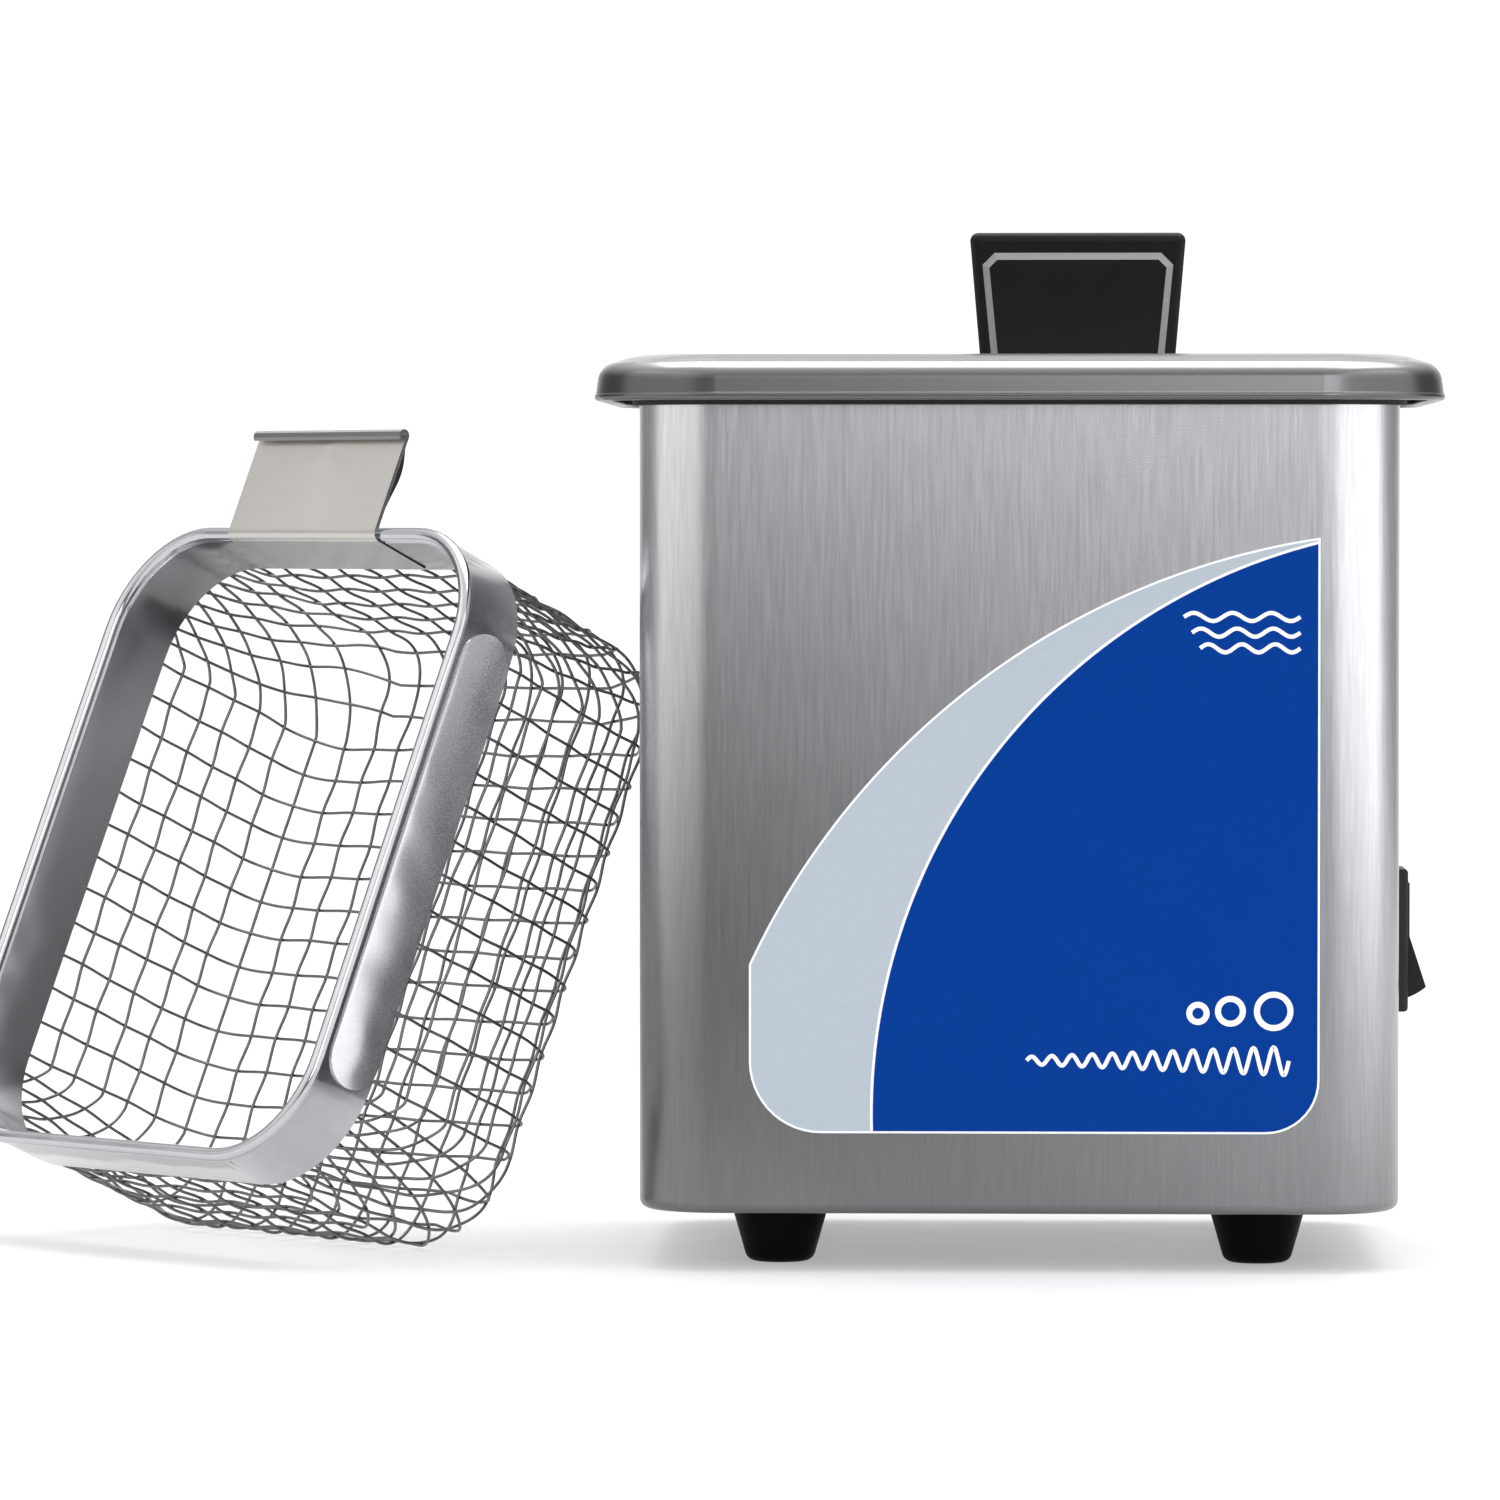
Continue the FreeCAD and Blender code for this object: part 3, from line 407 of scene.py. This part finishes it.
def plastics(m):
    """Moulded, painted and fired surfaces: colour, roughness, speckle, bump, specular level."""
    looks = {
        "plate_steel": ((0.035, 0.035, 0.037), 0.45, 1500, 0.15, 0.5),
        "black_bolt": ((0.04, 0.04, 0.04), 0.4, 1500, 0.15, 0.5),
        "black_rubber": ((0.002, 0.002, 0.002), 0.5, 1200, 0.3, 0.05),
        "seal_rubber": ((0.01, 0.01, 0.01), 0.6, 1200, 0.3, 0.5),
        "switch_plastic": ((0.012, 0.012, 0.012), 0.45, 2500, 0.3, 0.25),
        "rocker_plastic": ((0.006, 0.006, 0.006), 0.28, 1500, 0.08, 0.25),
        "grip_plastic": ((0.006, 0.006, 0.0065), 0.36, 1800, 0.04, 0.15),
        "inlet_plastic": ((0.02, 0.02, 0.02), 0.45, 2500, 0.3, 0.5),
        "chip_plastic": ((0.03, 0.03, 0.03), 0.5, 2500, 0.3, 0.5),
        "ferrite": ((0.05, 0.05, 0.055), 0.7, 1200, 0.3, 0.5),
        "piezo_ceramic": ((0.7, 0.63, 0.48), 0.6, 1200, 0.15, 0.5),
        "board_laminate": ((0.02, 0.17, 0.06), 0.35, 300, 0.1, 0.5),
        "coil_tape": ((0.72, 0.55, 0.1), 0.4, 300, 0.1, 0.5),
        "capacitor_sleeve": ((0.02, 0.05, 0.2), 0.3, 300, 0.05, 0.5),
        "film_capacitor": ((0.5, 0.08, 0.05), 0.3, 300, 0.05, 0.5),
        "block_green": ((0.05, 0.3, 0.1), 0.45, 1500, 0.15, 0.5),
        "lead_sheath": ((0.03, 0.05, 0.25), 0.45, 900, 0.1, 0.5),
        "lead_red": ((0.5, 0.02, 0.02), 0.45, 900, 0.1, 0.5),
        "lead_green": ((0.2, 0.4, 0.04), 0.45, 900, 0.1, 0.5),
    }
    for name, (colour, rough, scale, strength, shine) in looks.items():
        mat = new_material(name, colour, rough, Specular_IOR_Level=shine)
        m[name] = speckle(mat, scale, 0.15, strength, 0.00003)
    # Painted highlight: light grey for the sloping borders of the grip's pads.
    m["grip_bevel"] = speckle(new_material("grip_bevel", (0.24, 0.237, 0.233), 0.3), 900, 0.05, 0.03)
    glass = new_material("fuse_glass", (0.9, 0.93, 0.93), 0.05, Alpha=0.5)
    m["fuse_glass"] = speckle(glass, 300, 0.03, 0.02, 0.00002)


def label_films(m):
    """The label's three printed colours."""
    films = {
        "label_white": (0.86, 0.88, 0.90),
        "label_silver": (0.42, 0.47, 0.53),
        "label_blue": (0.0, 0.038, 0.255),
    }
    for name, colour in films.items():
        film = new_material(name, colour, 0.34, Specular_IOR_Level=0.05)
        m[name] = speckle(film, 900, 0.02, 0.02)


def make_materials():
    """All materials by name; most names are material slots of the record."""
    m = {}
    case_metals(m)
    basket_metals(m)
    small_metals(m)
    plastics(m)
    label_films(m)
    return m


def assign(obj, mat):
    obj.data.materials.clear()
    obj.data.materials.append(mat)


# ------------------------------------------------------------------ mesh helpers

def mesh_object(name, verts, faces, mat, body, smooth=False):
    mesh = bpy.data.meshes.new(name)
    mesh.from_pydata([tuple(v) for v in verts], [], faces)
    mesh.validate()
    mesh.update()
    if smooth:
        mesh.polygons.foreach_set("use_smooth", [True] * len(mesh.polygons))
    obj = bpy.data.objects.new(name, mesh)
    bpy.context.collection.objects.link(obj)
    mesh.materials.append(mat)
    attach(obj, body)
    return obj


def smooth_by_angle(obj, degrees):
    mesh = obj.data
    mesh.polygons.foreach_set("use_smooth", [True] * len(mesh.polygons))
    mesh.set_sharp_from_angle(angle=math.radians(degrees))


def prism_faces(n):
    """Faces between two n-sided outlines, numbered one after the other."""
    faces = [tuple(range(n)), tuple(reversed(range(n, 2 * n)))]
    for i in range(n):
        j = (i + 1) % n
        faces.append((j, i, n + i, n + j))
    return faces


def slab(name, outline, y_back, y_front, mat, body):
    """A flat piece on the front face: an (x, z) outline in mm between two y levels."""
    verts = [(x * MM, y * MM, z * MM) for y in (y_back, y_front) for x, z in outline]
    return mesh_object(name, verts, prism_faces(len(outline)), mat, body)


def ribbon(name, points, width, y_back, y_front, mat, body, closed=False):
    """A flat stroke of even width along a run of (x, z) points on the front face."""
    pts = np.array(points, float)
    if closed:
        ahead, behind = np.roll(pts, -1, 0), np.roll(pts, 1, 0)
    else:
        ahead = np.vstack([pts[1:], 2 * pts[-1] - pts[-2]])
        behind = np.vstack([2 * pts[0] - pts[1], pts[:-1]])
    way = ahead - behind
    way /= np.linalg.norm(way, axis=1)[:, None]
    side = np.c_[-way[:, 1], way[:, 0]] * width / 2
    n = len(pts)
    rows = [(pts + side, y_back), (pts - side, y_back), (pts - side, y_front), (pts + side, y_front)]
    verts = [(x * MM, y * MM, z * MM) for row, y in rows for x, z in row]
    faces = []
    for i in range(n if closed else n - 1):
        j = (i + 1) % n
        for k in range(4):
            m = (k + 1) % 4
            faces.append((k * n + i, k * n + j, m * n + j, m * n + i))
    if not closed:
        faces.append((0, n, 2 * n, 3 * n))
        faces.append((4 * n - 1, 3 * n - 1, 2 * n - 1, n - 1))
    return mesh_object(name, verts, faces, mat, body)


def arc_points(centre, r, start, end, n):
    """Points on an arc, angles in degrees."""
    return [(centre[0] + r * math.cos(math.radians(a)), centre[1] + r * math.sin(math.radians(a)))
            for a in np.linspace(start, end, n)]


def angle_to(centre, point):
    return math.degrees(math.atan2(point[1] - centre[1], point[0] - centre[0]))


# ------------------------------------------------------------------ front label

def label_outline(inset):
    """The label's edge, moved in by inset mm."""
    left, right, low = LABEL_LEFT + inset, LABEL_RIGHT - inset, LABEL_LOW + inset
    rl, rr = [r - inset for r in LABEL_CORNERS]
    centre, r = OUTER_ARC[0], OUTER_ARC[1] - inset
    tip = (right, centre[1] + math.sqrt(r * r - (right - centre[0]) ** 2))
    turn = (left, centre[1] + math.sqrt(r * r - (left - centre[0]) ** 2))
    pts = arc_points((left + rl, low + rl), rl, 180, 270, 14)
    pts += arc_points((right - rr, low + rr), rr, 270, 360, 12)
    pts += arc_points(centre, r, angle_to(centre, tip), angle_to(centre, turn), 60)
    return pts


def blue_outline(inset, grow):
    """The blue field's edge, moved in from the label's by inset mm; grow widens its own arc."""
    right, low = LABEL_RIGHT - inset, LABEL_LOW + inset
    rr = LABEL_CORNERS[1] - inset
    centre, r = BLUE_ARC[0], BLUE_ARC[1] + grow
    foot = (centre[0] - math.sqrt(r * r - (low - centre[1]) ** 2), low)
    tip = (right, centre[1] + math.sqrt(r * r - (right - centre[0]) ** 2))
    pts = [foot] + arc_points((right - rr, low + rr), rr, 270, 360, 12)
    pts += arc_points(centre, r, angle_to(centre, tip), angle_to(centre, foot) % 360, 60)[:-1]
    return pts


def wave(x0, x1, z, height, turns, taper=0.0):
    """A sine line along X; taper shrinks it towards its left end."""
    pts = []
    for t in np.linspace(0, 1, 240):
        size = height / 2 * (1 - taper * (1 - t))
        pts.append((x0 + (x1 - x0) * t, z + size * math.sin(2 * math.pi * turns * t)))
    return pts


def make_label(m):
    """Four layers of film, with three waves at the top, and three rings over a pulse line below."""
    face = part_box("housing")[0][1] / MM
    ink = (face - 0.22, face - 0.25)
    layers = [
        slab("label_edge", label_outline(0), face, face - 0.16, m["label_white"], "cleaner"),
        slab("label_silver_field", label_outline(LABEL_RIM), face - 0.15, face - 0.19,
             m["label_silver"], "cleaner"),
        slab("label_arc_line", blue_outline(LABEL_RIM, 0.5), face - 0.18, face - 0.21,
             m["label_white"], "cleaner"),
        slab("label_blue_field", blue_outline(LABEL_RIM, 0), face - 0.2, face - 0.23,
             m["label_blue"], "cleaner"),
    ]
    for i in range(3):
        line = wave(30.5 + 1.5 * i, 52.0, 121.6 - 2.9 * i, 1.5, 3)
        ribbon("label_wave_%d" % i, line, LABEL_STROKE, *ink, m["label_white"], "cleaner")
    for i, (x, z, r) in enumerate(((33.2, 48.2, 1.6), (39.2, 48.6, 2.3), (47.2, 48.6, 3.1))):
        ring = arc_points((x, z), r, 0, 360, 41)[:-1]
        ribbon("label_bubble_%d" % i, ring, 1.1, *ink, m["label_white"], "cleaner",
                           closed=True)
    line = wave(1.5, 50.0, 39.4, 5.4, 13, taper=0.75)
    ribbon("label_pulse", line, LABEL_STROKE, *ink, m["label_white"], "cleaner")
    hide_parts("front_label")


# ------------------------------------------------------------------ basket

def profile(d):
    """(radius from the corner centre, z) a distance d out along the base and up the wall."""
    flat = MESH_WALL - MESH_FILLET
    bend = MESH_FILLET * math.pi / 2
    if d <= flat:
        return d, MESH_BASE
    if d <= flat + bend:
        a = (d - flat) / MESH_FILLET
        return flat + MESH_FILLET * math.sin(a), MESH_BASE + MESH_FILLET * (1 - math.cos(a))
    return MESH_WALL, MESH_BASE + MESH_FILLET + d - flat - bend


def cloth_point(u, v):
    """Where a point of the flat woven sheet lies on the drawn basket, in its frame, in mm.

    Round a corner the wires crowd together: crowd sets how far they bend away from it.
    """
    crowd = 1.25
    s, t = abs(u) - CORNER_X, abs(v) - CORNER_Y
    sx, sy = (1 if u >= 0 else -1), (1 if v >= 0 else -1)
    if s <= 0 and t <= 0:
        return u, v, MESH_BASE
    if t <= 0:
        rho, z = profile(s)
        return sx * (CORNER_X + rho), v, z
    if s <= 0:
        rho, z = profile(t)
        return u, sy * (CORNER_Y + rho), z
    turn = math.radians(90) * t / (s + t)
    rho, z = profile((s ** crowd + t ** crowd) ** (1 / crowd))
    return sx * (CORNER_X + rho * math.cos(turn)), sy * (CORNER_Y + rho * math.sin(turn)), z


def cloth_normal(u, v):
    """The drawn sheet's normal, from four points a small step e away."""
    e = 0.3
    p = [np.array(cloth_point(*q)) for q in ((u + e, v), (u - e, v), (u, v + e), (u, v - e))]
    n = np.cross(p[0] - p[1], p[2] - p[3])
    return n / (np.linalg.norm(n) + 1e-9)


def tube(points, normals, verts, faces):
    """Adds a round wire along points to a mesh's lists."""
    pts, nrm = np.array(points), np.array(normals)
    way = np.gradient(pts, axis=0)
    way /= np.linalg.norm(way, axis=1)[:, None] + 1e-9
    side = np.cross(way, nrm)
    side /= np.linalg.norm(side, axis=1)[:, None] + 1e-9
    up = np.cross(side, way)
    start = sum(len(block) for block in verts)
    angles = np.linspace(0, 2 * math.pi, WIRE_SIDES, endpoint=False)
    rings = [pts + WIRE_R * (math.cos(a) * side + math.sin(a) * up) for a in angles]
    verts.append(np.stack(rings, 1).reshape(-1, 3))
    n = len(pts)
    for i in range(n - 1):
        ring = start + i * WIRE_SIDES
        for k in range(WIRE_SIDES):
            a, b = ring + k, ring + (k + 1) % WIRE_SIDES
            faces.append((a, b, b + WIRE_SIDES, a + WIRE_SIDES))
    faces.append(tuple(start + k for k in reversed(range(WIRE_SIDES))))
    faces.append(tuple(start + (n - 1) * WIRE_SIDES + k for k in range(WIRE_SIDES)))


def long_wire_number(u):
    """The running number of the long wire a distance u across the flat sheet."""
    flat = BASE_WIRES * BASE_PITCH
    if abs(u) <= flat:
        return u / BASE_PITCH
    wall = WALL_PITCH[0] if u > 0 else WALL_PITCH[1]
    return math.copysign(BASE_WIRES + (abs(u) - flat) / wall, u)


def long_wire_place(k):
    """The reverse of long_wire_number: how far across the sheet wire number k runs."""
    if abs(k) <= BASE_WIRES:
        return k * BASE_PITCH
    wall = WALL_PITCH[0] if k > 0 else WALL_PITCH[1]
    return math.copysign(BASE_WIRES * BASE_PITCH + (abs(k) - BASE_WIRES) * wall, k)


def wire_path(k, rung, reach):
    """One woven wire's points and normals, 1 mm apart, cut off inside the band.

    No wire runs quite true: each has a slow and a quicker wave of its own.
    """
    runs, pts, nrm = [], [], []
    fixed = k * RUNG_PITCH if rung else long_wire_place(k)
    slow, phase, quick = RNG.normal(0, 0.2, 3)
    for w in np.arange(-reach, reach + 0.01, 1.0):
        drift = fixed + slow * math.sin(w / 17 + phase * 9) + quick * math.sin(w / 8)
        u, v = (w, drift) if rung else (drift, w)
        p = np.array(cloth_point(u, v))
        if p[2] > WIRE_TOP:
            if len(pts) > 3:
                runs.append((pts, nrm))
            pts, nrm = [], []
            continue
        n = cloth_normal(u, v)
        other = long_wire_number(w) if rung else w / RUNG_PITCH
        over = math.cos(math.pi * (other + k + (0 if rung else 1)))
        pts.append(p + n * WEAVE * over)
        nrm.append(n)
    if len(pts) > 3:
        runs.append((pts, nrm))
    return runs


def make_mesh(m):
    """All the wires, as one piece in place of the CAD's closed tub."""
    verts, faces = [], []
    longest = BASKET_HALF_L + BASKET_H + 20
    for rung, half in ((True, BASKET_HALF_L), (False, BASKET_HALF_B)):
        reach = half + BASKET_H
        count = int(reach / (RUNG_PITCH if rung else WALL_PITCH[0]))
        for k in range(-count, count + 1):
            for pts, nrm in wire_path(k, rung, longest):
                tube(pts, nrm, verts, faces)
    local = np.vstack(verts) * MM
    turn = np.array(BASKET)
    world = local @ turn[:3, :3].T + turn[:3, 3]
    obj = mesh_object("basket_wires", world, faces, m["mesh_steel"], "basket", smooth=True)
    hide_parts("basket_mesh")


def ring_path():
    """Corners and sides of the basket's outline as (corner centre x, y, direction), in turn."""
    out = []
    corners = ((1, 1), (-1, 1), (-1, -1), (1, -1))
    for i, (sx, sy) in enumerate(corners):
        for a in np.linspace(90 * i, 90 * (i + 1), 14):
            out.append((sx * CORNER_X, sy * CORNER_Y, math.radians(a)))
        nsx, nsy = corners[(i + 1) % 4]
        for t in np.linspace(0, 1, 8)[1:-1]:
            out.append((CORNER_X * (sx + (nsx - sx) * t), CORNER_Y * (sy + (nsy - sy) * t),
                        math.radians(90 * (i + 1))))
    return out


def swept(name, section, mat):
    """A closed (radius, z) section in mm taken round the basket; smooth between hard corners."""
    path = ring_path()
    n, k = len(path), len(section)
    verts = []
    for x, y, a in path:
        for rho, z in section:
            verts.append(BASKET @ Vector(((x + rho * math.cos(a)) * MM,
                                          (y + rho * math.sin(a)) * MM, z * MM)))
    faces = []
    for i in range(n):
        j = (i + 1) % n
        for q in range(k):
            p = (q + 1) % k
            faces.append((i * k + q, j * k + q, j * k + p, i * k + p))
    obj = mesh_object(name, verts, faces, mat, "basket")
    smooth_by_angle(obj, 40)
    return obj


def make_band(m):
    """The polished band: a closed section taken round the mouth; its inner skin carries painted shade,
    darker the higher it stands.
    """
    inner = BAND_OUT - BAND_SKIN
    section = [(inner, BAND_EDGE - BAND_H), (inner + BAND_EDGE, -BAND_H),
               (BAND_OUT - BAND_EDGE, -BAND_H), (BAND_OUT, BAND_EDGE - BAND_H),
               (BAND_OUT, -2.3), (BAND_OUT + 0.15, -2.0)]
    section += arc_points((BASKET_R - BEAD_R, -BEAD_R), BEAD_R, -30, 210, 17)
    section.append((inner, -2.4))
    band = swept("basket_rim_band", section, m["band_steel"])
    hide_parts("basket_band")
    band.data.materials.append(m["band_inside"])
    for face in band.data.polygons:
        if face.index % len(section) in (0, len(section) - 1):
            face.material_index = 1
    for side in (1, -1):
        side_plate(m, side)


def side_plate(m, side):
    """Thin plate with bowed ends and a bevelled edge on one long side of the band.

    It starts a little inside the band, and its face stands out past its edge.
    """
    wall = CORNER_X + BAND_OUT
    sunk, edge_out, face_out = 0.1, 0.22, 0.38
    half, bow, bevel, face_share = CORNER_Y + 3.0, 6.0, 0.8, 0.9
    low, high = 0.3 - BAND_H, -3.2
    centre, rise = (low + high) / 2, (high - low) / 2
    edge = [(half - bow + bow * math.cos(a), centre + rise * math.sin(a))
            for a in np.linspace(-math.pi / 2, math.pi / 2, 15)]
    edge += [(-y, z) for y, z in reversed(edge)]
    n = len(edge)
    rows = [[(side * (wall + out), y, z) for y, z in edge] for out in (-sunk, edge_out)]
    rows.append([(side * (wall + face_out), y * (1 - bevel / half), centre + (z - centre) * face_share)
                 for y, z in edge])
    verts = [BASKET @ (Vector(p) * MM) for row in rows for p in row]
    faces = [tuple(range(2 * n, 3 * n)), tuple(reversed(range(n)))]
    for r in range(2):
        for i in range(n):
            j = (i + 1) % n
            faces.append((r * n + i, r * n + j, (r + 1) * n + j, (r + 1) * n + i))
    if side < 0:
        faces = [tuple(reversed(face)) for face in faces]
    name = "basket_side_plate_%s" % ("near" if side > 0 else "far")
    obj = mesh_object(name, verts, faces, m["plate_band"], "basket")
    smooth_by_angle(obj, 30)
    return obj


def shade_tab_leg(m):
    """Painted shade: the tab's leg, its cut edges and the mouth of its curl get a darker steel than
    its plate.
    """
    tab = frame["nodes"]["basket_handle"]
    tab.data.materials.append(m["leg_steel"])
    back = BASKET.inverted()
    turn = back.to_3x3()
    plate = 0.9
    for face in tab.data.polygons:
        place, way = back @ face.center / MM, turn @ face.normal
        leg, cut = place.z < -plate, abs(way.x) > 0.9
        mouth = place.y > TAB_CURL and place.z > plate and way.z > 0.2 and way.y < 0.35
        if leg or cut or mouth:
            face.material_index = 1


def handle_rib(m):
    """Bowed stiffening rib under the right edge of the folded tab, in near-black steel as painted
    shade.
    """
    depth, top, end = 1.1, 0.1, 0.3
    edge = [(TAB_ROOT + TAB_LENGTH * t, -0.05 - depth * math.sin(math.pi * t ** 1.5) ** 1.2)
            for t in np.linspace(0.02, 0.98, 17)]
    outline = [(TAB_ROOT + end, top)] + edge + [(TAB_ROOT + TAB_LENGTH - end, top)]
    verts = [BASKET @ (Vector((x, y, z)) * MM) for x in (TAB_RIGHT - 1.2, TAB_RIGHT - 0.2)
             for y, z in outline]
    rib = mesh_object("basket_handle_rib", verts, prism_faces(len(outline)), m["rib_steel"], "basket")


# ------------------------------------------------------------------ lid grip and rim

def paint_pad_highlights(m):
    """Painted highlight: the sloping border of the grip's two pads gets a light grey."""
    grip = frame["nodes"]["lid_grip"]
    low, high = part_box("lid_grip")
    middle = (low[0] + high[0]) / 2
    grip.data.materials.append(m["grip_bevel"])
    for face in grip.data.polygons:
        place, way = face.center, face.normal
        reach = PAD_HALF_FOOT * MM + PAD_FLARE * (place.z - low[2])
        inside = abs(place.x - middle) < reach and place.z < high[2] - PAD_BELOW_TOP * MM
        slopes = abs(place.y) > PAD_FACE * MM and 0.4 < abs(way.y) < 0.94
        if inside and slopes:
            face.material_index = 1


def shade_rim_flange(m):
    """Painted shade: the rim outside the case walls gets its own steel, darker down its flange than
    along its crest.
    """
    tank, wall = frame["nodes"]["tank"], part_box("housing")[1]
    tank.data.materials.append(m["rim_steel"])
    for face in tank.data.polygons:
        if abs(face.center.x) > wall[0] or abs(face.center.y) > wall[1]:
            face.material_index = 1


# ------------------------------------------------------------------ build

def main():
    make_camera()
    m = make_materials()
    make_light()
    make_floor()
    slots = {s["node"]: s["material_slot"] for s in frame["record"]["subparts"]}
    for name, obj in frame["nodes"].items():
        if slots[name] in m:
            assign(obj, m[slots[name]])
    make_label(m)
    make_mesh(m)
    make_band(m)
    shade_tab_leg(m)
    handle_rib(m)
    paint_pad_highlights(m)
    shade_rim_flange(m)


main()
